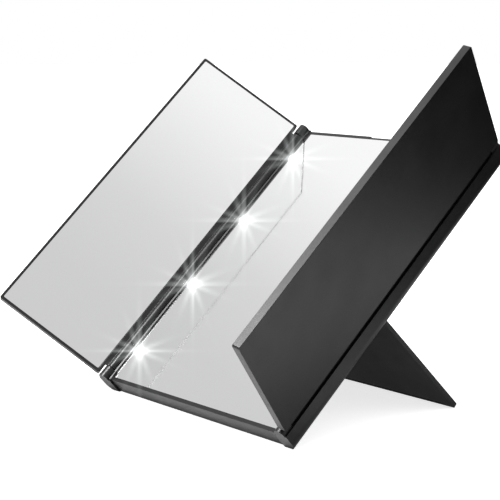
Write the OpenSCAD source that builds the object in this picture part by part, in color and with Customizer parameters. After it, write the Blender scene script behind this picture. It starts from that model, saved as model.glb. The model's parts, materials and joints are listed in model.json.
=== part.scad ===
// Folding three-panel vanity mirror with lamps along both sides of the centre mirror.
// Lengths are millimetres and angles are degrees.
//
// Panel frame: X across the panel, Y up along it, Z out of the centre mirror's face.
// Part frame: +Z up, the mirror faces -Y, and the origin is the middle of the leg's
// foot facet, on the surface that the mirror stands on.

/* [Centre panel] */
// Width of the centre panel
panel_w = 114.4; // [110:0.2:120]
// Length of the centre panel between its end faces
panel_l = 140; // [136:1:150]
// Depth of the centre panel from the mirror face to the back face
panel_t = 7.3; // [7.2:0.1:8]
// Radius of the long edges at the back
back_round = 4; // [2:0.5:4]

/* [Wings] */
// Distance from a hinge axis to the free edge of its wing
wing_reach = 53.3; // [48:0.1:53.5]
// Thickness of a wing
wing_t = 3.1; // [2.8:0.1:3.4]
// Left wing's fold, forward from flat open
left_fold = 51; // [30:1:179]
// Right wing's fold, forward from flat open
right_fold = 73; // [30:1:179]

/* [Stand] */
// Lean of the panel, measured from the table
lean = 42.5; // [38:0.5:50]
// Width of the stand leg
leg_w = 99; // [80:0.2:100.8]
// Length of the stand leg from its hinge axis to its foot
leg_l = 57.8; // [56:0.1:59]
// Thickness of the stand leg
leg_t = 1.7; // [1.6:0.1:2.2]

/* [Lamps] */
// Lamps along each side of the centre mirror
lamps_per_side = 4; // [2:1:4]
// Distance between neighbouring lamps
lamp_pitch = 36; // [30:1:36]
// Diameter of a lamp's lens at the mirror face
lens_d = 3.4; // [3:0.1:3.6]

/* [Hidden] */
$fn = 48;
side_x = panel_w / 2;
end_y = panel_l / 2;
back_z = -panel_t;

// Solids that are joined overlap by this much, and cuts run this far past a surface
join = 0.01;
past = 1;

// Layers through the centre panel
glass_t = 1.4;
tape_t = 0.1;
floor_t = 1;
cover_t = 1.05;
floor_back_z = -glass_t - tape_t - floor_t;
cover_front_z = back_z + cover_t;
end_wall = 1.3;

// Hollow of the housing, and the rear cover that closes it
cavity_x = side_x - 6.3;
cavity_y = end_y - end_wall - 1.3;
rebate_x = side_x - 4.5;
rebate_y = end_y - end_wall;
rebate_r = 1.6;
cover_gap = 0.1;

// Centre mirror
mirror_x = side_x - 6.05;
mirror_y = end_y - 1.6;
mirror_gap = 0.1;
mirror_seat_r = 0.6;
tape_inset = 0.5;

// Wing hinges
hinge_x = side_x - 3.2;
hinge_z = 0.8;
barrel_r = 1.9;
ear_r = 2.4;
ear_w = 6.4;
ear_l = 4;
ear_proud = 0.8;
ear_inner_y = end_y - ear_l;
groove_r = 2.3;
groove_shift = 0.2;
wall_rise = 0.65;
wall_t = 1.7;
wall_root = 1;
wing_pin_r = 0.75;
wing_pin_in_ear = 3.4;
wing_pin_in_wing = 7;
wing_pin_bore = 8.5;
running_fit = 0.05;
press_fit = 0.01;

// Wings, in a frame with its origin on the hinge axis
face_w = -0.1;
plate_in = 3.2;
web_t = 1;
wing_rim = 1.1;
wing_corner_r = 0.8;
barrel_gap = 0.3;
barrel_half = ear_inner_y - barrel_gap;

// Thumb notch in the top edge of the panel
notch_w = 25;
notch_d = 0.6;
notch_floor_z = -3;

// Stand leg
leg_axis_y = -9.4;
leg_barrel_r = 1.1;
leg_barrel_l = 6;
leg_axis_z = back_z - leg_barrel_r - 0.25;
leg_pin_r = 0.6;
leg_pin_l = 5.4;
leg_corner_r = 2.5;
leg_pin_bore = 7;
leg_hinge_l = 4;
knuckle_t = 1.6;
knuckle_r = 1.4;
knuckle_gap = 0.3;
stop_w = 40;
stop_t = 1.6;
stop_reach = 1.6;
stop_gap = 0.15;
foot_strip_w = 2.4;
foot_strip_t = 0.9;
foot_strip_l = leg_w - 12;

// Where the table is: each ear loses this much of its corner to a flat facet
ear_facet = 0.45;
table_drop = (end_y + ear_proud) * sin(lean) + panel_t * cos(lean) - ear_facet;
leg_axis_height = leg_axis_y * sin(lean) + leg_axis_z * cos(lean) + table_drop;
leg_slope = asin(leg_axis_height / leg_l);
leg_open = 180 - lean - leg_slope;
facet_mid = leg_t / 4;
foot_mid_s = leg_l - facet_mid * cos(leg_slope) / sin(leg_slope);
foot_y = leg_axis_y * cos(lean) - leg_axis_z * sin(lean)
    + foot_mid_s * cos(leg_slope) - facet_mid * sin(leg_slope);

// Cover screws and the bosses that they go into
screw_x = 40;
screw_ys = [-62, 2, 62];
screw_r = 0.9;
screw_head_r = 1.8;
screw_head_t = 0.9;
boss_r = 2.4;
screw_l = 4.2;
screw_slot = [2.2, 0.4, 0.45];
screw_face_z = back_z + 0.05;
screw_gap = 0.1;
screw_tip_gap = 0.1;

// Lamps
lamp_x = mirror_x - 2.9;
lamp_ys = [for (i = [0 : lamps_per_side - 1]) (i - (lamps_per_side - 1) / 2) * lamp_pitch];
lens_flange_r = 2.3;
led_w = 2.8;
led_t = 0.7;
board_t = 0.8;
board_front_z = floor_back_z - led_t;
board_back_z = board_front_z - board_t;
led_board_w = 4.2;
led_board_l = 124;
board_r = 0.5;
lens_gap = 0.05;
lens_flange_gap = 0.1;
pad_w = 4;
pad_l = 6;
pad_ys = [-36, 0, 36];

// Battery compartment
cell_r = 10;
cell_t = 3.2;
cell_x = 11;
cell_y = 34;
cell_front_z = floor_back_z - 0.2;
cell_back_z = cell_front_z - cell_t;
cradle_wall = 1;
cell_gap = 0.2;
cell_rim = 0.9;
cell_step = 0.5;
door_w = 59.6;
door_l = 24.6;
door_t = 1;
door_gap = 0.2;
door_r = 2;
door_screw_x = 25.5;
door_boss_r = 2.2;
ledge_t = 0.55;
ledge_out = 2;
ledge_in = 1.5;
contact_t = 0.1;
contact_w = 5;
contact_tail = 3;
contact_dome_r = 2;
link_w = 6;
tail_gap_w = 6;

// Main board and power switch
board_x = 38.4;
board_y = 34;
board_w = 13.2;
board_l = 20;
board_post_r = 1.5;
board_post_y = 7;
switch_w = 4;
switch_l = 8.6;
switch_back_z = cover_front_z + 0.15;
knob_w = 2.9;
knob_l = 4.4;
knob_proud = 0.8;
knob_travel = 2.4;
knob_gap = 0.2;
knob_r = 0.5;
grip_ys = [-1.2, 0, 1.2];
grip_w = 0.4;
grip_t = 0.3;
stem_w = 1.5;
wire_r = 0.4;
wire_pitch = 1.2;
wire_sides = 8;
wire_gap = 0.02;

// ---------------------------------------------------------------- helpers

// Puts something built in the panel frame where it stands on the table.
module standing() {
    translate([0, -foot_y, table_drop]) rotate([lean, 0, 0]) children();
}

// Rectangle with round corners, centred.
module round_rect(w, l, r) {
    square([w - 2 * r, l], center = true);
    square([w, l - 2 * r], center = true);
    for (x = [-1, 1], y = [-1, 1]) translate([x * (w / 2 - r), y * (l / 2 - r)]) circle(r);
}

// Plate with round corners that lies between two heights.
module plate(w, l, z0, z1, r) {
    translate([0, 0, z0]) linear_extrude(z1 - z0) round_rect(w, l, r);
}

// Box given by its two corners.
module block(a, b) {
    translate(a) cube(b - a);
}

// Cylinder between two heights.
module post(r, z0, z1) {
    translate([0, 0, z0]) cylinder(h = z1 - z0, r = r);
}

// Extrudes an XZ outline along Y, between two places.
module along_y(y0, y1) {
    translate([0, y1, 0]) rotate([90, 0, 0]) linear_extrude(y1 - y0) children();
}

// Extrudes a YZ outline along X, between two places.
module along_x(x0, x1) {
    translate([x0, 0, 0]) rotate([90, 0, 90]) linear_extrude(x1 - x0) children();
}

// The same thing on the right side and, mirrored, on the left.
module both_sides() {
    children();
    mirror([1, 0, 0]) children();
}

module one_side(left) {
    if (left) mirror([1, 0, 0]) children();
    else children();
}

module both_ends() {
    children();
    mirror([0, 1, 0]) children();
}

module at_lamps() {
    for (y = lamp_ys) translate([lamp_x, y, 0]) children();
}

module at_cells() {
    for (x = [-cell_x, cell_x]) translate([x, cell_y, 0]) children();
}

module at_screws() {
    for (x = [-screw_x, screw_x], y = screw_ys) translate([x, y, 0]) children();
}

module at_door_screws() {
    for (x = [-door_screw_x, door_screw_x]) translate([x, cell_y, 0]) children();
}

// Everything behind the table plane, in the panel frame.
module below_table() {
    rotate([-lean, 0, 0]) translate([-100, -150, -table_drop - 20]) cube([200, 300, 20]);
}

// Countersunk screw whose head is flush with the face at z = face, pointing to +Z.
module countersunk_screw(face, length) {
    difference() {
        union() {
            translate([0, 0, face]) cylinder(h = screw_head_t, r1 = screw_head_r, r2 = screw_r);
            post(screw_r, face + screw_head_t - join, face + length);
        }
        for (a = [0, 90]) rotate([0, 0, a])
            block([-screw_slot.x / 2, -screw_slot.y / 2, face - past],
                  [screw_slot.x / 2, screw_slot.y / 2, face + screw_slot.z]);
    }
}

// Clearance for a countersunk screw through a plate.
module screw_clearance(face) {
    translate([0, 0, face - join])
        cylinder(h = screw_head_t + 2 * screw_gap, r1 = screw_head_r + 1.5 * screw_gap,
                 r2 = screw_r + screw_gap);
    post(screw_r + screw_gap, face, face + 3);
}

// Insulated wire through a list of points, as one eight-sided tube with mitred bends.
module wire(points) {
    last = len(points) - 1;
    dirs = [for (i = [0 : last - 1]) unit(points[i + 1] - points[i])];
    turns = [for (i = [0 : last]) unit(dirs[max(i - 1, 0)] + dirs[min(i, last - 1)])];
    rings = [for (i = [0 : last], k = [0 : wire_sides - 1])
        let (across = unit(cross(turns[i], [0, 0, 1])), up = cross(across, turns[i]),
             a = 360 * (k + 0.5) / wire_sides)
        points[i] + wire_r * (cos(a) * across + sin(a) * up)];
    walls = [for (i = [0 : last - 1], k = [0 : wire_sides - 1])
        let (n = (k + 1) % wire_sides, a = i * wire_sides, b = a + wire_sides)
        [a + k, a + n, b + n, b + k]];
    start = [for (k = [0 : wire_sides - 1]) wire_sides - 1 - k];
    end = [for (k = [0 : wire_sides - 1]) last * wire_sides + k];
    polyhedron(rings, concat([start], walls, [end]), convexity = 4);
}

function unit(v) = v / norm(v);

// ------------------------------------------------------------ centre panel

// Outline of the centre panel across its width, with round edges at the back.
module panel_outline() {
    square_top = back_z + back_round;
    translate([-side_x, square_top]) square([panel_w, -square_top]);
    translate([-side_x + back_round, back_z]) square([panel_w - 2 * back_round, back_round + join]);
    for (s = [-1, 1]) translate([s * (side_x - back_round), square_top]) circle(back_round);
}

// Ear that carries one end of a hinge pin, on the right side.
module ear_outline() {
    intersection() {
        panel_outline();
        translate([side_x - ear_w, back_z - past]) square([ear_w, panel_t + past]);
    }
    translate([hinge_x, -wall_root]) square([side_x - hinge_x, wall_root + wall_rise]);
    translate([hinge_x, hinge_z]) circle(ear_r);
}

module center_housing() color([0.05, 0.05, 0.055]) standing() {
    difference() {
        union() {
            along_y(-end_y, end_y) panel_outline();
            both_sides() block([side_x - wall_t, -end_y, -wall_root], [side_x, end_y, wall_rise]);
            both_sides() both_ends() along_y(ear_inner_y, end_y + ear_proud) ear_outline();
        }
        // seat of the centre mirror
        plate(2 * (mirror_x + mirror_gap), 2 * (mirror_y + mirror_gap), -glass_t - tape_t, past,
              mirror_seat_r);
        // grooves that the wing barrels turn in
        both_sides() translate([hinge_x + groove_shift, ear_inner_y, hinge_z])
            rotate([90, 0, 0]) cylinder(h = 2 * ear_inner_y, r = groove_r);
        // room for the wing plates over the side walls, between the ears
        both_sides() block([hinge_x, -ear_inner_y, wall_rise], [side_x + past, ear_inner_y, 5]);
        // inside, and the rebate that the rear cover lies in
        block([-cavity_x, -cavity_y, back_z - past], [cavity_x, cavity_y, floor_back_z]);
        plate(2 * rebate_x, 2 * rebate_y, back_z - past, cover_front_z, rebate_r);
        // lamp openings through the floor
        both_sides() at_lamps() post(lens_flange_r + lens_flange_gap, floor_back_z - past, 0);
        // holes for the hinge pins
        both_sides() both_ends() translate([hinge_x, ear_inner_y + wing_pin_in_ear, hinge_z])
            rotate([90, 0, 0]) cylinder(h = wing_pin_in_ear + past, r = wing_pin_r + press_fit);
        // thumb notch in the top edge
        block([-notch_w / 2, end_y - notch_d, notch_floor_z], [notch_w / 2, end_y + past, past]);
        below_table();
    }
    // screw bosses
    difference() {
        at_screws() post(boss_r, cover_front_z, floor_back_z + join);
        at_screws() post(screw_r + running_fit, cover_front_z - past, floor_back_z - screw_tip_gap);
    }
    difference() {
        at_door_screws() post(door_boss_r, back_z + door_t, floor_back_z + join);
        at_door_screws() post(screw_r + running_fit, back_z, floor_back_z - screw_tip_gap);
    }
    // cradles round the coin cells, open where the contacts leave
    difference() {
        at_cells() post(cell_r + cell_gap + cradle_wall, cell_back_z + cell_gap, floor_back_z + join);
        at_cells() post(cell_r + cell_gap, cell_back_z - past, floor_back_z);
        at_cells() block([-tail_gap_w / 2, cell_r - 2, back_z], [tail_gap_w / 2, cell_r + 4, floor_back_z]);
    }
    // pads that hold the boards off the floor
    both_sides() for (y = pad_ys) translate([lamp_x, y, 0])
        block([-pad_w / 2, -pad_l / 2, board_front_z], [pad_w / 2, pad_l / 2, floor_back_z + join]);
    for (y = [-board_post_y, board_post_y]) translate([board_x, board_y + y, 0])
        post(board_post_r, board_front_z, floor_back_z + join);
}

module rear_cover() color([0.06, 0.06, 0.065]) standing() {
    difference() {
        union() {
            plate(2 * (rebate_x - cover_gap), 2 * (rebate_y - cover_gap), back_z, cover_front_z,
                  rebate_r - cover_gap);
            // ledge that the battery door lies on
            translate([0, cell_y, 0])
                plate(door_w + 2 * ledge_out, door_l + 2 * ledge_out,
                      cover_front_z - join, cover_front_z + ledge_t, door_r + 1);
        }
        translate([0, cell_y, 0]) {
            plate(door_w + 2 * door_gap, door_l + 2 * door_gap, back_z - past, back_z + door_t,
                  door_r + door_gap);
            plate(door_w - 2 * ledge_in, door_l - 2 * ledge_in, back_z, 0, 1.6);
        }
        at_screws() screw_clearance(back_z);
        // slot for the switch knob
        translate([board_x, board_y, 0])
            plate(knob_w + 2 * knob_gap, knob_l + knob_travel + 2 * knob_gap, back_z - past, 0,
                  knob_r + 0.1);
    }
    leg_knuckles();
    // stop for the open leg
    block([-stop_w / 2, leg_axis_y + leg_t / 2 + stop_gap, leg_axis_z - stop_reach],
          [stop_w / 2, leg_axis_y + leg_t / 2 + stop_gap + stop_t, back_z + join]);
}

// Two knuckles that hold the outer ends of the leg's pins.
module leg_knuckles() {
    inner = leg_w / 2 + knuckle_gap;
    both_sides() difference() {
        along_x(inner, inner + knuckle_t) {
            translate([leg_axis_y, leg_axis_z]) circle(knuckle_r);
            translate([leg_axis_y - knuckle_r, leg_axis_z])
                square([2 * knuckle_r, back_z + join - leg_axis_z]);
        }
        translate([inner - past, leg_axis_y, leg_axis_z])
            rotate([0, 90, 0]) cylinder(h = knuckle_t + 2 * past, r = leg_pin_r + press_fit);
    }
}

module cover_screws() color([0.55, 0.56, 0.58]) standing() {
    at_screws() countersunk_screw(screw_face_z, screw_l);
}

module center_mirror() color([0.85, 0.88, 0.9]) standing() {
    difference() {
        plate(2 * mirror_x, 2 * mirror_y, -glass_t, 0, 0.5);
        both_sides() at_lamps() post(lens_d / 2 + lens_gap, -glass_t - past, past);
    }
}

module center_mirror_tape() color([0.9, 0.9, 0.88]) standing() {
    difference() {
        plate(2 * (mirror_x - tape_inset), 2 * (mirror_y - tape_inset), -glass_t - tape_t, -glass_t, 0.5);
        both_sides() at_lamps() post(lens_flange_r + 3 * lens_flange_gap, -glass_t - past, past);
    }
}

// ------------------------------------------------------------------- lamps

// Clear lenses: a boss through the mirror and a flange in the floor.
module lenses(left) color([0.95, 0.97, 1], 0.6) standing() one_side(left) at_lamps() {
    post(lens_d / 2, -glass_t - tape_t, -0.02);
    post(lens_flange_r, floor_back_z + lens_gap, -glass_t - tape_t + join);
}

module leds(left) color([1, 1, 0.95]) standing() one_side(left) at_lamps()
    block([-led_w / 2, -led_w / 2, board_front_z], [led_w / 2, led_w / 2, floor_back_z - 0.02]);

module led_board(left) color([0.9, 0.92, 0.9]) standing() one_side(left)
    translate([lamp_x, 0, 0]) plate(led_board_w, led_board_l, board_back_z, board_front_z, board_r);

// ------------------------------------------------------------- electronics

module main_board() color([0.05, 0.35, 0.18]) standing()
    translate([board_x, board_y, 0]) plate(board_w, board_l, board_back_z, board_front_z, board_r);

// Driver chip, two resistors and a capacitor on the main board.
module board_components() color([0.1, 0.1, 0.1]) standing() translate([board_x, board_y, board_back_z]) {
    block([-2.5, 5.2, -1.2], [2.5, 8.8, 0]);
    block([-5.8, -8.6, -0.5], [-4.2, -7.8, 0]);
    block([-2.8, -8.6, -0.5], [-1.2, -7.8, 0]);
    block([1, -9, -0.8], [3, -7.8, 0]);
}

module switch_body() color([0.7, 0.7, 0.72]) standing() translate([board_x, board_y, 0]) difference() {
    slot_x = stem_w / 2 + knob_gap;
    slot_y = (stem_w + knob_travel) / 2 + knob_gap;
    block([-switch_w / 2, -switch_l / 2, switch_back_z], [switch_w / 2, switch_l / 2, board_back_z]);
    block([-slot_x, -slot_y, switch_back_z - past], [slot_x, slot_y, board_back_z - 0.6]);
}

// Slide knob, drawn switched on at the upper end of its travel.
module switch_knob() color([0.08, 0.08, 0.085]) standing()
    translate([board_x, board_y + knob_travel / 2, 0]) {
        difference() {
            plate(knob_w, knob_l, back_z - knob_proud, cover_front_z, knob_r);
            for (y = grip_ys)
                block([-knob_w, y - grip_w / 2, back_z - knob_proud - past],
                      [knob_w, y + grip_w / 2, back_z - knob_proud + grip_t]);
        }
        block([-stem_w / 2, -stem_w / 2, cover_front_z - join],
              [stem_w / 2, stem_w / 2, board_back_z - 0.9]);
    }

module coin_cell(x) color([0.75, 0.76, 0.78]) standing() translate([x, cell_y, 0]) {
    post(cell_r, cell_back_z, cell_front_z - cell_step);
    post(cell_r - cell_rim, cell_front_z - cell_step - join, cell_front_z);
}

// Spring contact on the floor under a cell, with a tail that leaves the cradle.
module floor_contact(x) color([0.8, 0.72, 0.5]) standing() translate([x, cell_y, 0]) {
    block([-contact_w / 2, -contact_w, floor_back_z - contact_t],
          [contact_w / 2, cell_r + contact_tail, floor_back_z]);
    post(contact_dome_r, cell_front_z, floor_back_z - contact_t + join);
}

// Bridge inside the battery door that joins the cells in series.
module cell_link() color([0.8, 0.72, 0.5]) standing() translate([0, cell_y, 0]) {
    block([-cell_x - link_w / 2, -link_w / 2, back_z + door_t],
          [cell_x + link_w / 2, link_w / 2, back_z + door_t + contact_t]);
    for (x = [-cell_x, cell_x]) translate([x, 0, 0])
        post(contact_dome_r, back_z + door_t + contact_t - join, cell_back_z);
}

module battery_door() color([0.06, 0.06, 0.065]) standing() difference() {
    translate([0, cell_y, 0]) plate(door_w, door_l, back_z, back_z + door_t, door_r);
    at_door_screws() screw_clearance(back_z);
}

module battery_door_screws() color([0.55, 0.56, 0.58]) standing()
    at_door_screws() countersunk_screw(screw_face_z, screw_l);

// One colour of wire: from the board to each lamp strip, and to its battery contact.
module wires(side, contact_x) standing() {
    s = side * wire_pitch / 2;
    z = board_back_z - wire_r - wire_gap;
    tail_y = cell_y + cell_r + contact_tail - 0.8;
    cell_run_y = cell_y + 15 + s;
    strip_run_y = cell_y + 19 + s;
    wire([[board_x - 5 + s, board_y + 8 + s, z], [board_x - 10 + s, strip_run_y, z],
          [-lamp_x + 5 - s, strip_run_y, z], [-lamp_x - s, strip_run_y - 4, z]]);
    wire([[board_x + 5 - s, board_y + 2 + s, z], [lamp_x - 0.8 - s, board_y + 6 + s, z]]);
    wire([[contact_x, tail_y, floor_back_z - contact_t - wire_r - wire_gap],
          [contact_x + 2, cell_run_y, z], [board_x - 13 + s, cell_run_y, z],
          [board_x - 5 + s, board_y + 2.5 + s, z]]);
}

module red_wires() color([0.75, 0.08, 0.06]) wires(1, -cell_x);

module black_wires() color([0.04, 0.04, 0.04]) wires(-1, cell_x);

// -------------------------------------------------------------- wing hinges

module hinge_pins(left) color([0.7, 0.71, 0.73]) standing() one_side(left) both_ends()
    translate([hinge_x, ear_inner_y + wing_pin_in_ear, hinge_z])
        rotate([90, 0, 0]) cylinder(h = wing_pin_in_ear + wing_pin_in_wing, r = wing_pin_r);

// Puts a right wing, built from its hinge axis, at its fold on either side.
module on_hinge(left, fold) {
    standing() one_side(left) translate([hinge_x, 0, hinge_z]) rotate([0, -fold, 0]) children();
}

// Plate of a wing between two depths, set in from its outline.
module wing_plate(w0, w1, inset, r) {
    translate([(plate_in + wing_reach) / 2, 0, 0])
        plate(wing_reach - plate_in - 2 * inset, panel_l - 2 * inset, w0, w1, r);
}

module wing_shell(left, fold) color([0.05, 0.05, 0.055]) on_hinge(left, fold) difference() {
    union() {
        wing_plate(face_w - wing_t, face_w, 0, wing_corner_r);
        block([0, -barrel_half, face_w - web_t], [plate_in + 0.5, barrel_half, face_w]);
        translate([0, barrel_half, 0]) rotate([90, 0, 0]) cylinder(h = 2 * barrel_half, r = barrel_r);
    }
    wing_plate(face_w - glass_t - tape_t, past, wing_rim, mirror_seat_r);
    both_ends() translate([0, ear_inner_y + past, 0])
        rotate([90, 0, 0]) cylinder(h = wing_pin_bore, r = wing_pin_r + running_fit);
}

module wing_tape(left, fold) color([0.9, 0.9, 0.88]) on_hinge(left, fold)
    wing_plate(face_w - glass_t - tape_t, face_w - glass_t, wing_rim + mirror_gap + tape_inset, 0.5);

module wing_mirror(left, fold) color([0.85, 0.88, 0.9]) on_hinge(left, fold)
    wing_plate(face_w - glass_t, face_w, wing_rim + mirror_gap, 0.5);

// ------------------------------------------------------------------- stand

// Leg built folded flat, with its hinge axis along X at the origin, then swung open.
module on_leg_hinge() {
    standing() translate([0, leg_axis_y, leg_axis_z]) rotate([leg_open, 0, 0]) children();
}

// Everything under the table plane, in the leg's own folded frame.
module under_foot() {
    along_x(-leg_w, leg_w) polygon([
        [-leg_l, 0],
        [-leg_l + 10 * cos(leg_slope), 10 * sin(leg_slope)],
        [-leg_l - 10, 10],
        [-leg_l - 10 * cos(leg_slope), -10 * sin(leg_slope)]
    ]);
}

module foot_strip_block(gap) {
    block([-foot_strip_l / 2 - gap, -leg_l - gap, leg_t / 2 - foot_strip_t - gap],
          [foot_strip_l / 2 + gap, -leg_l + foot_strip_w + gap, leg_t / 2 + gap]);
}

module stand_leg() color([0.07, 0.07, 0.075]) on_leg_hinge() difference() {
    union() {
        translate([0, -leg_l / 2, 0]) difference() {
            plate(leg_w, leg_l, -leg_t / 2, leg_t / 2, leg_corner_r);
            block([-leg_w, leg_l / 2 - leg_corner_r, -leg_t], [leg_w, leg_l, leg_t]);
        }
        block([-leg_w / 2, -leg_hinge_l, -leg_t / 2], [leg_w / 2, 0, leg_t / 2]);
        translate([-leg_w / 2, 0, 0]) rotate([0, 90, 0]) cylinder(h = leg_w, r = leg_t / 2);
        both_sides() translate([leg_w / 2 - leg_barrel_l, 0, 0])
            rotate([0, 90, 0]) cylinder(h = leg_barrel_l, r = leg_barrel_r);
    }
    foot_strip_block(press_fit);
    under_foot();
    both_sides() translate([leg_w / 2 - leg_pin_l + knuckle_t, 0, 0])
        rotate([0, 90, 0]) cylinder(h = leg_pin_bore, r = leg_pin_r + running_fit);
}

module leg_pins() color([0.7, 0.71, 0.73]) on_leg_hinge() both_sides()
    translate([leg_w / 2 + knuckle_gap + knuckle_t - leg_pin_l, 0, 0])
        rotate([0, 90, 0]) cylinder(h = leg_pin_l, r = leg_pin_r);

module foot_strip() color([0.03, 0.03, 0.03]) on_leg_hinge() difference() {
    foot_strip_block(0);
    under_foot();
}

center_housing();
rear_cover();
cover_screws();
center_mirror();
center_mirror_tape();
lenses(true);  // left_lenses
lenses(false);  // right_lenses
leds(true);  // left_leds
leds(false);  // right_leds
led_board(true);  // left_led_board
led_board(false);  // right_led_board
main_board();
board_components();
switch_body();
switch_knob();
coin_cell(-cell_x);  // coin_cell_a
coin_cell(cell_x);  // coin_cell_b
floor_contact(-cell_x);  // positive_contact
floor_contact(cell_x);  // negative_contact
cell_link();
battery_door();
battery_door_screws();
red_wires();
black_wires();
hinge_pins(true);  // left_hinge_pins
hinge_pins(false);  // right_hinge_pins
wing_shell(true, left_fold);  // left_wing_shell
wing_tape(true, left_fold);  // left_wing_tape
wing_mirror(true, left_fold);  // left_wing_mirror
wing_shell(false, right_fold);  // right_wing_shell
wing_tape(false, right_fold);  // right_wing_tape
wing_mirror(false, right_fold);  // right_wing_mirror
stand_leg();
leg_pins();
foot_strip();
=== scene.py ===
"""Looks for the folding three-panel vanity mirror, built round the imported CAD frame."""

import json
import math

import bpy
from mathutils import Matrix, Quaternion, Vector


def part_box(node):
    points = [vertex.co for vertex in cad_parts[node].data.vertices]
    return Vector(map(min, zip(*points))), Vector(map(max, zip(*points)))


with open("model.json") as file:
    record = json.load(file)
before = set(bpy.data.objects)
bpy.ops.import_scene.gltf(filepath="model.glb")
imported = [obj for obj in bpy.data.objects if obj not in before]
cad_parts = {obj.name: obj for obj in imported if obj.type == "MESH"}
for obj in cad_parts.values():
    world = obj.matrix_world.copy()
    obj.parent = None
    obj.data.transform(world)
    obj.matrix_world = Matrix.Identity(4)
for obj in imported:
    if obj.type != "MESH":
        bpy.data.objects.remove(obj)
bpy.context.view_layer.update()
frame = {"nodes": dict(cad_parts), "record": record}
NODES = frame["nodes"]
MM = 0.001

# The photograph's viewpoint, given round the middle of the centre mirror.
VIEW_AZIMUTH = 50.8
VIEW_ELEVATION = 8.1
VIEW_ROLL = 0.43
VIEW_DISTANCE = 0.575
VIEW_LENS = 107.0
AIM_FROM_MIRROR = Vector((-0.0116, -0.0134, 0.0063))

# How far each edge of a moulded or metal piece is rounded, and in how many steps. Faces within
# FLAT_ANGLE of each other are merged first, and an edge sharper than SHARP_ANGLE is rounded.
SOFT_EDGE = 0.25 * MM
METAL_EDGE = 0.05 * MM
EDGE_STEPS = 3
WELD_DISTANCE = 0.002 * MM
FLAT_ANGLE = math.radians(0.5)
SHARP_ANGLE = math.radians(35)

# Refraction of the satin black plastic and of the clear lenses.
PLASTIC_IOR = 1.42
LENS_IOR = 1.49

# Half the floor's width in metres, and the paper's colour where the camera sees it.
FLOOR_HALF = 6.0
PAPER_WHITE = (0.9, 0.9, 0.9)
# The floor's painted brightness in reflections, painted shade that keeps it darker than the paper the
# camera sees, and its own painted glow there as a share of that.
REFLECTED_FLOOR_LIGHT = 0.62
FLOOR_GLOW = 0.2
# The dark side of the studio in reflections: its azimuth, how it fades in (cosine of the angle from there,
# share of the dark), and the painted shade on the floor there, darker away from the object (distance from
# the origin, painted brightness).
DARK_AZIMUTH = 158
DARK_EDGE = ((0.64, 0.0), (0.84, 1.0))
FLOOR_PAINTED_SHADE = ((0.13, REFLECTED_FLOOR_LIGHT), (0.2, 0.22), (0.3, 0.02), (0.5, 0.002))
# How much light the paper gives the camera beyond what falls on it.
FLOOR_LIFT = 0.74
# The soft box in reflections: (height plus depth of the direction, brightness).
SKY_FADE = ((0.3, 0.64), (0.45, 0.66), (0.53, 0.72), (0.59, 0.85), (0.65, 0.99), (0.9, 1.1))
# How it fades to the horizon on the dark side: (height of the direction, share of its light).
DARK_HORIZON = ((0.0, 0.04), (0.3, 0.12), (0.5, 1.0))

# Light from a lamp's phosphor and from the middle of its lens. Vertices of a row of lamps that
# are within LAMP_REACH of each other belong to one lamp.
LAMP_GLOW = 60
LENS_GLOW = 16
LAMP_REACH = 8 * MM

# Key light: azimuth and elevation, distance and size in metres, power in watts.
KEY_DIRECTION = (-9, 52)
KEY_DISTANCE = 1.0
KEY_SIZE = 0.3
KEY_POWER = 17

# Sparkle round each lit lamp: (rays, angle of the first in degrees, fade, strength) for each
# set of rays, how bright a pixel has to be to sparkle, and the most light that it spreads.
SPARKLE = ((4, 0, 0.87, 1.4), (8, 22, 0.81, 1.5))
SPARKLE_THRESHOLD = 4.0
SPARKLE_MOST = 16.0


# ------------------------------------------------------------------ helpers

def middle(node):
    low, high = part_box(node)
    return (low + high) / 2


def direction(azimuth, elevation):
    """Unit vector from the object to something at that azimuth and elevation."""
    a, e = math.radians(azimuth), math.radians(elevation)
    return Vector((math.sin(a) * math.cos(e), -math.cos(a) * math.cos(e), math.sin(e)))


def add_object(name, data):
    made = bpy.data.objects.new(name, data)
    bpy.context.scene.collection.objects.link(made)
    return made


# ------------------------------------------------------------------- camera

def make_camera():
    data = bpy.data.cameras.new("camera")
    data.lens = VIEW_LENS
    data.sensor_width = 36
    data.clip_start = 10 * MM
    data.clip_end = 50
    camera = add_object("camera", data)
    back = direction(VIEW_AZIMUTH, VIEW_ELEVATION)
    camera.location = middle("center_mirror") + AIM_FROM_MIRROR + back * VIEW_DISTANCE
    camera.rotation_mode = "QUATERNION"
    roll = Quaternion((0, 0, 1), math.radians(VIEW_ROLL))
    camera.rotation_quaternion = (-back).to_track_quat("-Z", "Y") @ roll
    bpy.context.scene.camera = camera


# ---------------------------------------------------------------- materials

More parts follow.
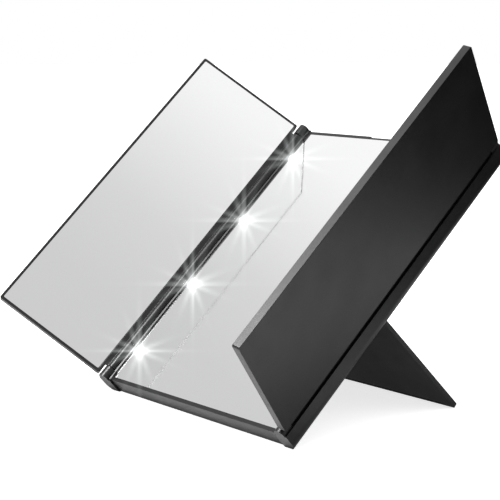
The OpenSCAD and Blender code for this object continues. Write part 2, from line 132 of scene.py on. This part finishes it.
class Surface:
    """A principled material whose detail comes from procedural nodes in object space."""

    def __init__(self, name, colour, roughness, metallic=0.0):
        self.material = bpy.data.materials.new(name)
        self.material.use_nodes = True
        self.nodes = self.material.node_tree.nodes
        self.links = self.material.node_tree.links
        self.shader = self.nodes["Principled BSDF"]
        self.place = self.nodes.new("ShaderNodeTexCoord").outputs["Object"]
        self.put("Base Color", (*colour, 1))
        self.put("Roughness", roughness)
        self.put("Metallic", metallic)

    def put(self, socket, value):
        if isinstance(value, bpy.types.NodeSocket):
            self.links.new(value, self.shader.inputs[socket])
        else:
            self.shader.inputs[socket].default_value = value

    def noise(self, size, detail=3.0, stretch=(1, 1, 1), rough=0.5):
        """Noise whose features are about size metres across."""
        mapping = self.nodes.new("ShaderNodeMapping")
        mapping.inputs["Scale"].default_value = [s / size for s in stretch]
        self.links.new(self.place, mapping.inputs["Vector"])
        node = self.nodes.new("ShaderNodeTexNoise")
        node.inputs["Scale"].default_value = 1.0
        node.inputs["Detail"].default_value = detail
        node.inputs["Roughness"].default_value = rough
        self.links.new(mapping.outputs[0], node.inputs["Vector"])
        return node.outputs["Fac"]

    def spread(self, source, low, high, start=0.3, stop=0.7):
        """Maps a 0 to 1 pattern to numbers between low and high."""
        node = self.nodes.new("ShaderNodeMapRange")
        node.inputs["From Min"].default_value = start
        node.inputs["From Max"].default_value = stop
        node.inputs["To Min"].default_value = low
        node.inputs["To Max"].default_value = high
        self.links.new(source, node.inputs["Value"])
        return node.outputs[0]

    def tint(self, source, first, second):
        """Colours between two, either of which may be a socket, by a 0 to 1 pattern."""
        node = self.nodes.new("ShaderNodeMix")
        node.data_type = "RGBA"
        for place, colour in ((6, first), (7, second)):
            if isinstance(colour, bpy.types.NodeSocket):
                self.links.new(colour, node.inputs[place])
            else:
                node.inputs[place].default_value = (*colour, 1)
        self.links.new(source, node.inputs[0])
        return node.outputs[2]

    def nearest(self, centres):
        """Distance to the nearest of several points."""
        found = None
        for centre in centres:
            away = self.nodes.new("ShaderNodeVectorMath")
            away.operation = "DISTANCE"
            away.inputs[1].default_value = centre
            self.links.new(self.place, away.inputs[0])
            if found is None:
                found = away.outputs["Value"]
                continue
            least = self.nodes.new("ShaderNodeMath")
            least.operation = "MINIMUM"
            self.links.new(found, least.inputs[0])
            self.links.new(away.outputs["Value"], least.inputs[1])
            found = least.outputs[0]
        return found

    def bump(self, source, depth, below=None):
        """Raises the surface by depth metres where the pattern is 1."""
        node = self.nodes.new("ShaderNodeBump")
        node.inputs["Distance"].default_value = depth
        node.inputs["Strength"].default_value = 1.0
        self.links.new(source, node.inputs["Height"])
        if below is not None:
            self.links.new(below, node.inputs["Normal"])
        return node.outputs[0]


def moulded_plastic(name, colour, roughness, grain=0.012 * MM):
    """Satin black moulding: fine eroded grain, faint flow marks and handling marks."""
    s = Surface(name, colour, roughness)
    handling = s.noise(14 * MM, detail=5)
    s.put("Roughness", s.spread(handling, roughness - 0.035, roughness + 0.045))
    marks = s.noise(5 * MM, detail=4)
    s.put("Base Color", s.tint(marks, [c * 0.85 for c in colour], [c * 1.2 for c in colour]))
    flow = s.bump(s.noise(22 * MM, detail=2), 0.02 * MM)
    s.put("Normal", s.bump(s.noise(0.35 * MM, detail=4), grain, flow))
    s.put("IOR", PLASTIC_IOR)
    return s.material


def mirror_glass(node):
    """Silvered glass: near-perfect polish on the two faces, plain dark glass round the cut edge."""
    face = max(node.data.polygons, key=lambda polygon: polygon.area).normal
    s = Surface("mirror_glass_" + node.name, (0.93, 0.93, 0.93), 0.05, metallic=1.0)
    normal = s.nodes.new("ShaderNodeTexCoord").outputs["Normal"]
    along = s.nodes.new("ShaderNodeVectorMath")
    along.operation = "DOT_PRODUCT"
    along.inputs[1].default_value = face
    s.links.new(normal, along.inputs[0])
    size = s.nodes.new("ShaderNodeMath")
    size.operation = "ABSOLUTE"
    s.links.new(along.outputs["Value"], size.inputs[0])
    silvered = s.spread(size.outputs[0], 0, 1, 0.5, 0.9)
    wipes = s.noise(9 * MM, detail=6, stretch=(1, 0.4, 0.4))
    polish = s.tint(s.noise(30 * MM, detail=2), (0.922, 0.926, 0.926), (0.936, 0.938, 0.938))
    s.put("Metallic", silvered)
    s.put("Base Color", s.tint(silvered, (0.012, 0.02, 0.018), polish))
    s.put("Roughness", s.spread(wipes, 0.04, 0.075, 0.35, 0.75))
    return s.material


def phosphor(node):
    """Lit lamps: a round yellow-white spot, far brighter than the white case round it."""
    s = Surface("led_" + node.name, (0.85, 0.85, 0.8), 0.3)
    spot = s.spread(s.nearest(lamp_centres(node)), 1, 0, 0.9 * MM, 1.25 * MM)
    cloud = s.noise(0.5 * MM, detail=2)
    s.put("Emission Color", s.tint(spot, (1.0, 0.96, 0.86), (1.0, 1.0, 1.0)))
    s.put("Emission Strength", s.spread(spot, 1.5, LAMP_GLOW, 0, 1))
    s.put("Normal", s.bump(cloud, 0.02 * MM))
    return s.material


def clear_lens(node):
    """Moulded clear lens with a glow that gathers in its middle."""
    s = Surface("lens_" + node.name, (0.96, 0.98, 1.0), 0.12)
    glow = s.spread(s.nearest(lamp_centres(node)), 1, 0, 0.3 * MM, 1.7 * MM)
    ripple = s.noise(0.8 * MM, detail=2)
    s.put("Transmission Weight", 0.85)
    s.put("IOR", LENS_IOR)
    s.put("Emission Color", s.tint(ripple, (0.93, 0.97, 1.0), (1.0, 1.0, 1.0)))
    s.put("Emission Strength", s.spread(glow, 0.6, LENS_GLOW, 0, 1))
    s.put("Normal", s.bump(ripple, 0.02 * MM))
    return s.material


def lamp_centres(node):
    """Middle of each separate solid in a node that holds a row of them."""
    groups = []
    for vertex in node.data.vertices:
        near = [g for g in groups if (g[0] - vertex.co).length < LAMP_REACH]
        if near:
            near[0].append(vertex.co.copy())
        else:
            groups.append([vertex.co.copy()])
    centres = []
    for group in groups:
        low = Vector([min(v[i] for v in group) for i in range(3)])
        high = Vector([max(v[i] for v in group) for i in range(3)])
        centres.append((low + high) / 2)
    return centres


def metal(name, colour, roughness, brushed=(1, 1, 8)):
    s = Surface(name, colour, roughness, metallic=1.0)
    lines = s.noise(0.6 * MM, detail=4, stretch=brushed)
    s.put("Roughness", s.spread(lines, roughness - 0.08, roughness + 0.1))
    s.put("Base Color", s.tint(s.noise(3 * MM), [c * 0.88 for c in colour], colour))
    s.put("Normal", s.bump(lines, 0.004 * MM))
    return s.material


def soft_matt(name, colour, roughness, grain_size, grain):
    """Rubber, foam tape and other dull surfaces."""
    s = Surface(name, colour, roughness)
    pores = s.noise(grain_size, detail=5)
    s.put("Roughness", s.spread(pores, roughness - 0.08, roughness + 0.08))
    s.put("Base Color", s.tint(pores, [c * 0.75 for c in colour], [min(1, c * 1.15) for c in colour]))
    s.put("Normal", s.bump(pores, grain))
    return s.material


def solder_mask(name, colour, copper):
    """Circuit board: lacquer over faint copper tracks."""
    s = Surface(name, colour, 0.3)
    weave = s.noise(0.25 * MM, detail=2)
    wave = s.nodes.new("ShaderNodeTexWave")
    wave.inputs["Scale"].default_value = 180
    wave.inputs["Distortion"].default_value = 2.0
    s.links.new(s.place, wave.inputs["Vector"])
    tracks = s.spread(wave.outputs["Fac"], 0, 1, 0.72, 0.78)
    s.put("Base Color", s.tint(tracks, colour, copper))
    s.put("Roughness", s.spread(weave, 0.24, 0.38))
    s.put("Normal", s.bump(weave, 0.006 * MM, s.bump(tracks, 0.02 * MM)))
    return s.material


def make_materials():
    """One material for each slot, or a function that makes one to suit each node."""
    black = (0.0045, 0.0045, 0.005)
    return {
        "black_housing": moulded_plastic("black_housing", black, 0.36),
        "black_cover": moulded_plastic("black_cover", (0.007, 0.007, 0.0076), 0.46, 0.02 * MM),
        "black_wing": moulded_plastic("black_wing", black, 0.36),
        "black_leg": moulded_plastic("black_leg", (0.006, 0.006, 0.0066), 0.4),
        "black_knob": moulded_plastic("black_knob", (0.016, 0.016, 0.017), 0.5),
        "mirror_glass": mirror_glass,
        "clear_lens": clear_lens,
        "led_emitter": phosphor,
        "white_board": solder_mask("white_board", (0.75, 0.77, 0.76), (0.66, 0.69, 0.66)),
        "green_board": solder_mask("green_board", (0.012, 0.09, 0.04), (0.03, 0.17, 0.07)),
        "black_chip": soft_matt("black_chip", (0.02, 0.02, 0.021), 0.5, 0.2 * MM, 0.01 * MM),
        "switch_metal": metal("switch_metal", (0.6, 0.61, 0.63), 0.32),
        "cell_metal": metal("cell_metal", (0.72, 0.72, 0.73), 0.3),
        "contact_metal": metal("contact_metal", (0.83, 0.7, 0.42), 0.25),
        "steel_screw": metal("steel_screw", (0.56, 0.57, 0.59), 0.3),
        "pin_steel": metal("pin_steel", (0.6, 0.61, 0.63), 0.24, (8, 1, 1)),
        "white_tape": soft_matt("white_tape", (0.72, 0.72, 0.69), 0.8, 0.4 * MM, 0.04 * MM),
        "red_insulation": soft_matt("red_insulation", (0.5, 0.02, 0.015), 0.4, 0.6 * MM, 0.01 * MM),
        "black_insulation": soft_matt("black_insulation", (0.012, 0.012, 0.012), 0.4, 0.6 * MM, 0.01 * MM),
        "foot_rubber": soft_matt("foot_rubber", (0.008, 0.008, 0.009), 0.75, 0.3 * MM, 0.03 * MM),
    }


def dress(materials):
    """Gives every CAD node its material and, unless it is glass or a lamp, a softened edge."""
    slots = {part["node"]: part["material_slot"] for part in frame["record"]["subparts"]}
    for name, node in NODES.items():
        slot = slots[name]
        look = materials[slot]
        node.data.materials.clear()
        node.data.materials.append(look(node) if callable(look) else look)
        if slot not in ("mirror_glass", "clear_lens", "led_emitter"):
            moulded = slot.startswith("black_") and slot not in ("black_chip", "black_insulation")
            soften(node, SOFT_EDGE if moulded else METAL_EDGE)


def soften(piece, width):
    """Merges the flat faces' triangles and rounds the sharp edges between them."""
    weld = piece.modifiers.new("weld", "WELD")
    weld.merge_threshold = WELD_DISTANCE
    flats = piece.modifiers.new("flats", "DECIMATE")
    flats.decimate_type = "DISSOLVE"
    flats.angle_limit = FLAT_ANGLE
    bevel = piece.modifiers.new("soft_edge", "BEVEL")
    bevel.width = width
    bevel.segments = EDGE_STEPS
    bevel.limit_method = "ANGLE"
    bevel.angle_limit = SHARP_ANGLE
    bevel.use_clamp_overlap = True
    shade = piece.modifiers.new("even_shade", "WEIGHTED_NORMAL")
    shade.weight = 100
    shade.keep_sharp = False


# -------------------------------------------------------------------- stage

class Graph:
    """Short calls for wiring up the stage's own shaders."""

    def __init__(self, tree):
        self.nodes = tree.nodes
        self.links = tree.links

    def value(self, source, socket):
        """Sets an input, either from another node's output or to a plain value."""
        if isinstance(source, bpy.types.NodeSocket):
            self.links.new(source, socket)
        else:
            socket.default_value = source

    def math(self, operation, first, second):
        node = self.nodes.new("ShaderNodeMath")
        node.operation = operation
        self.value(first, node.inputs[0])
        self.value(second, node.inputs[1])
        return node.outputs[0]

    def vector(self, operation, first, second=None):
        node = self.nodes.new("ShaderNodeVectorMath")
        node.operation = operation
        self.value(first, node.inputs[0])
        if second is not None:
            self.value(second, node.inputs[1])
        return node.outputs["Value"] if operation in ("DOT_PRODUCT", "LENGTH") else node.outputs[0]

    def ramp(self, source, stops):
        """Straight lines between stops of (input, output), level beyond the first and last."""
        node = self.nodes.new("ShaderNodeFloatCurve")
        low, high = stops[0][0], stops[-1][0]
        scaled = self.math("DIVIDE", self.math("SUBTRACT", source, low), high - low)
        node.mapping.use_clip = False
        curve = node.mapping.curves[0]
        points = [((place - low) / (high - low), light) for place, light in stops]
        curve.points[0].location = points[0]
        curve.points[1].location = points[-1]
        for point in points[1:-1]:
            curve.points.new(*point)
        for point in curve.points:
            point.handle_type = "VECTOR"
        node.mapping.update()
        clamp = self.nodes.new("ShaderNodeClamp")
        self.value(scaled, clamp.inputs["Value"])
        self.value(clamp.outputs[0], node.inputs["Value"])
        return node.outputs[0]

    def between(self, share, first, second):
        """First where share is 0, second where it is 1."""
        node = self.nodes.new("ShaderNodeMix")
        for source, place in ((share, 0), (first, 2), (second, 3)):
            self.value(source, node.inputs[place])
        return node.outputs[0]

    def dark_side(self, towards):
        """How far a direction, or a place on the floor, is in the dark side of the studio."""
        level = self.vector("NORMALIZE", self.vector("MULTIPLY", towards, (1, 1, 0)))
        return self.ramp(self.vector("DOT_PRODUCT", level, direction(DARK_AZIMUTH, 0)), DARK_EDGE)

    def camera_ray(self):
        return self.nodes.new("ShaderNodeLightPath").outputs["Is Camera Ray"]


def make_floor():
    """White paper that the camera sees evenly lit; reflections see it with painted shade that falls dark
    to one side and away from the middle, and a painted glow.
    """
    mesh = bpy.data.meshes.new("floor")
    corners = [(x * FLOOR_HALF, y * FLOOR_HALF, 0) for x, y in ((-1, -1), (1, -1), (1, 1), (-1, 1))]
    mesh.from_pydata(corners, [], [(0, 1, 2, 3)])
    floor = add_object("floor", mesh)
    material = bpy.data.materials.new("floor_paper")
    material.use_nodes = True
    g = Graph(material.node_tree)
    g.nodes.clear()
    place = g.nodes.new("ShaderNodeTexCoord").outputs["Object"]
    # Painted light and shade on the floor, for reflections only: a level, a painted glow, and painted
    # shade that falls dark with distance on the dark side.
    far_floor_shade = g.ramp(g.vector("LENGTH", place), FLOOR_PAINTED_SHADE)
    floor_light_and_shade = g.between(g.dark_side(place), REFLECTED_FLOOR_LIGHT, far_floor_shade)
    lit = g.nodes.new("ShaderNodeBsdfDiffuse")
    g.value(floor_light_and_shade, lit.inputs["Color"])
    glow = g.nodes.new("ShaderNodeEmission")
    g.value(g.math("MULTIPLY", floor_light_and_shade, FLOOR_GLOW), glow.inputs["Strength"])
    reflected = g.nodes.new("ShaderNodeAddShader")
    g.links.new(lit.outputs[0], reflected.inputs[0])
    g.links.new(glow.outputs[0], reflected.inputs[1])
    paper = g.nodes.new("ShaderNodeBsdfDiffuse")
    paper.inputs["Color"].default_value = (*PAPER_WHITE, 1)
    lift = g.nodes.new("ShaderNodeEmission")
    lift.inputs["Strength"].default_value = FLOOR_LIFT
    both = g.nodes.new("ShaderNodeAddShader")
    g.links.new(paper.outputs[0], both.inputs[0])
    g.links.new(lift.outputs[0], both.inputs[1])
    mix = g.nodes.new("ShaderNodeMixShader")
    g.value(g.camera_ray(), mix.inputs[0])
    g.links.new(reflected.outputs[0], mix.inputs[1])
    g.links.new(both.outputs[0], mix.inputs[2])
    g.links.new(mix.outputs[0], g.nodes.new("ShaderNodeOutputMaterial").inputs["Surface"])
    mesh.materials.append(material)


def make_world():
    """White behind the object; reflections see a soft box overhead that fades towards -Y."""
    world = bpy.data.worlds.new("studio")
    world.use_nodes = True
    bpy.context.scene.world = world
    g = Graph(world.node_tree)
    background = g.nodes["Background"]
    background.inputs["Color"].default_value = (1, 1, 1, 1)
    towards = g.nodes.new("ShaderNodeTexCoord").outputs["Generated"]
    overhead = g.ramp(g.vector("DOT_PRODUCT", towards, (0, 1, 1)), SKY_FADE)
    low = g.ramp(g.vector("DOT_PRODUCT", towards, (0, 0, 1)), DARK_HORIZON)
    horizon = g.between(g.dark_side(towards), 1.0, low)
    seen = g.camera_ray()
    reflected = g.math("MULTIPLY", g.math("MULTIPLY", overhead, horizon), g.math("SUBTRACT", 1, seen))
    g.value(g.math("ADD", reflected, seen), background.inputs["Strength"])


def square_light(name, azimuth, elevation, distance, size, power, unseen_by):
    """A soft light that leaves the listed pieces alone, and so draws no picture of itself in them."""
    data = bpy.data.lights.new(name, "AREA")
    data.shape = "SQUARE"
    data.size = size
    data.energy = power
    lamp = add_object(name, data)
    away = direction(azimuth, elevation)
    lamp.location = middle("center_mirror") + away * distance
    lamp.rotation_mode = "QUATERNION"
    lamp.rotation_quaternion = (-away).to_track_quat("-Z", "Y")
    unlit = bpy.data.collections.new(name + "_unseen_by")
    for piece in unseen_by:
        unlit.objects.link(piece)
    for item in unlit.collection_objects:
        item.light_linking.link_state = "EXCLUDE"
    lamp.light_linking.receiver_collection = unlit


def make_sparkle():
    """Star of light round each lit lamp, as a lens draws it: long rays, and short ones between."""
    scene = bpy.context.scene
    scene.use_nodes = True
    tree = scene.node_tree
    tree.nodes.clear()
    image = tree.nodes.new("CompositorNodeRLayers").outputs["Image"]
    for rays, angle, fade, strength in SPARKLE:
        glare = tree.nodes.new("CompositorNodeGlare")
        glare.glare_type = "STREAKS"
        glare.inputs["Threshold"].default_value = SPARKLE_THRESHOLD
        glare.inputs["Clamp"].default_value = True
        glare.inputs["Maximum"].default_value = SPARKLE_MOST
        glare.inputs["Streaks"].default_value = rays
        glare.inputs["Streaks Angle"].default_value = math.radians(angle)
        glare.inputs["Fade"].default_value = fade
        glare.inputs["Strength"].default_value = strength
        glare.inputs["Color Modulation"].default_value = 0.0
        tree.links.new(image, glare.inputs["Image"])
        image = glare.outputs["Image"]
    result = tree.nodes.new("CompositorNodeComposite")
    tree.links.new(image, result.inputs["Image"])


make_camera()
make_floor()
make_world()
mirrors = [node for name, node in NODES.items() if name.endswith("_mirror")]
square_light("key", *KEY_DIRECTION, KEY_DISTANCE, KEY_SIZE, KEY_POWER, unseen_by=mirrors)
dress(make_materials())
make_sparkle()
bpy.context.scene.view_settings.view_transform = "Standard"
